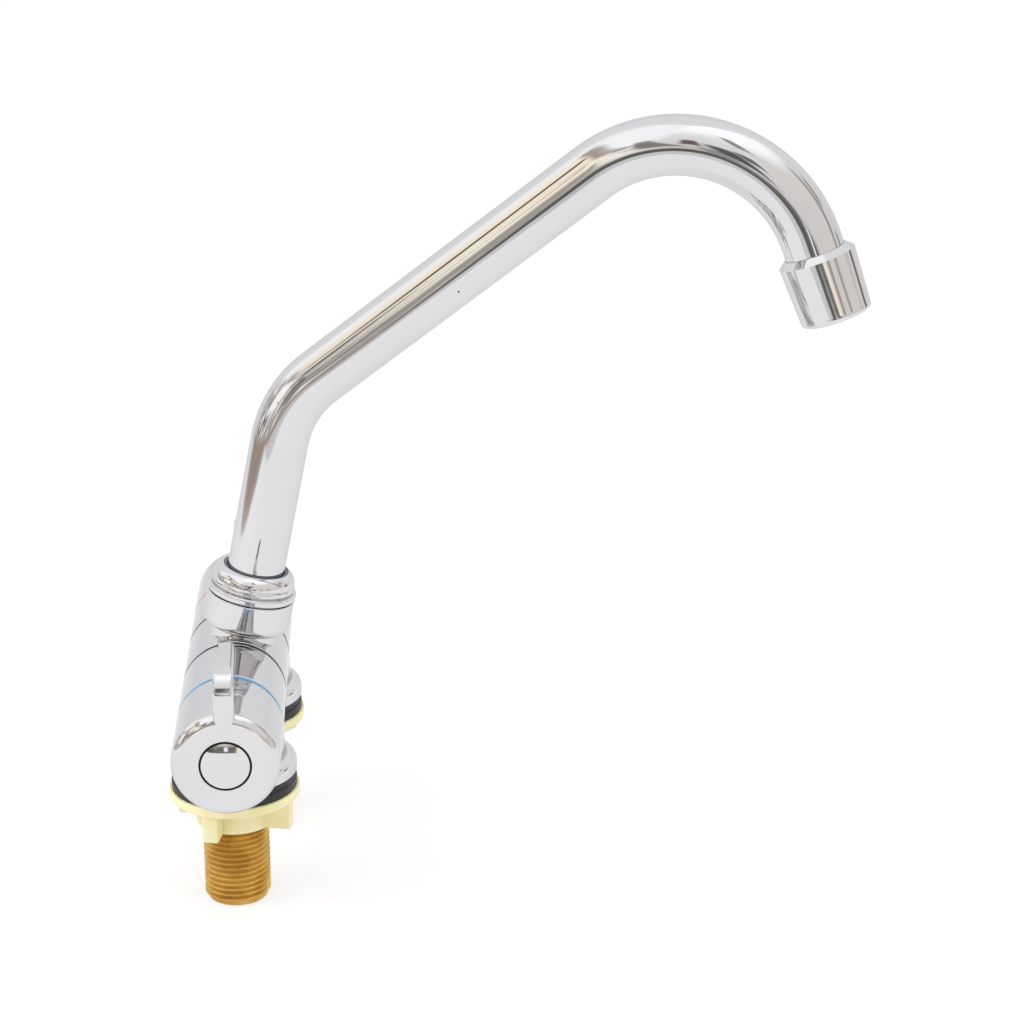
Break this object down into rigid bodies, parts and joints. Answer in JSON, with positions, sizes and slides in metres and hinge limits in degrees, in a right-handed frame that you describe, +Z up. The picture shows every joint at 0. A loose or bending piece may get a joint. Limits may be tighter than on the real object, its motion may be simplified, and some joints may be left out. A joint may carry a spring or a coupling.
{
  "type": "folding caravan tap",
  "caption": "Chromed deck tap with lever handles at both ends of a level body, threaded inlet tails with winged backnuts, and a bent spout that swivels and folds down flat.",
  "frame": {"origin": "on the deck, at the underside of the seals, midway between the axes of the two inlet tails", "axes": "+Z up from the deck; +Y along the body from the cold handle to the hot handle; +X the way the spout reaches"},
  "size_m": [0.2151, 0.1456, 0.2484],
  "materials": {
    "chrome": "bright chrome plate",
    "brass": "machined",
    "rubber": "matt black",
    "cream": "moulded, cream",
    "acetal": "moulded, dark grey",
    "ceramic": "lapped",
    "blue": "moulded, blue",
    "red": "moulded, red",
    "steel": "zinc plated"
  },
  "bodies": {
    "base": {"cold_block": "chrome", "hot_block": "chrome", "cold_tail": "brass", "hot_tail": "brass", "cold_seal": "rubber", "hot_seal": "rubber", "cold_backnut": "cream", "hot_backnut": "cream", "cold_cartridge": "brass", "hot_cartridge": "brass", "cold_seat_seal": "rubber", "hot_seat_seal": "rubber", "cold_fixed_disc": "ceramic", "hot_fixed_disc": "ceramic", "cold_index_ring": "blue", "hot_index_ring": "red", "fold_axle": "brass", "axle_o_rings": "rubber", "hub_washers": "rubber"},
    "fold": {"fold_hub": "chrome", "collar_nut": "chrome", "wiper_ring": "acetal", "spout_bush": "acetal", "spout_o_rings": "rubber"},
    "spout": {"spout_tube": "chrome", "spout_flange": "brass", "aerator_housing": "chrome", "aerator_washer": "rubber", "aerator_insert": "acetal"},
    "cold_lever": {"cold_handle": "chrome", "cold_cap": "chrome", "cold_screw": "steel", "cold_spindle": "brass", "cold_turning_disc": "ceramic"},
    "hot_lever": {"hot_handle": "chrome", "hot_cap": "chrome", "hot_screw": "steel", "hot_spindle": "brass", "hot_turning_disc": "ceramic"}
  },
  "joints": [
    {"name": "fold_hinge", "type": "hinge", "parent": "base", "child": "fold", "pos_m": [0, 0, 0.025], "axis": [0, 1, 0], "range_deg": [-11.5, 78.5]},
    {"name": "spout_swivel", "type": "hinge", "parent": "fold", "child": "spout", "pos_m": [0, 0, 0.025], "axis": [0.1994, 0, 0.9799], "continuous": true},
    {"name": "cold_turn", "type": "hinge", "parent": "base", "child": "cold_lever", "pos_m": [0, -0.057, 0.025], "axis": [0, 1, 0], "range_deg": [0, 90]},
    {"name": "hot_turn", "type": "hinge", "parent": "base", "child": "hot_lever", "pos_m": [0, 0.057, 0.025], "axis": [0, 1, 0], "range_deg": [0, 90]}
  ]
}
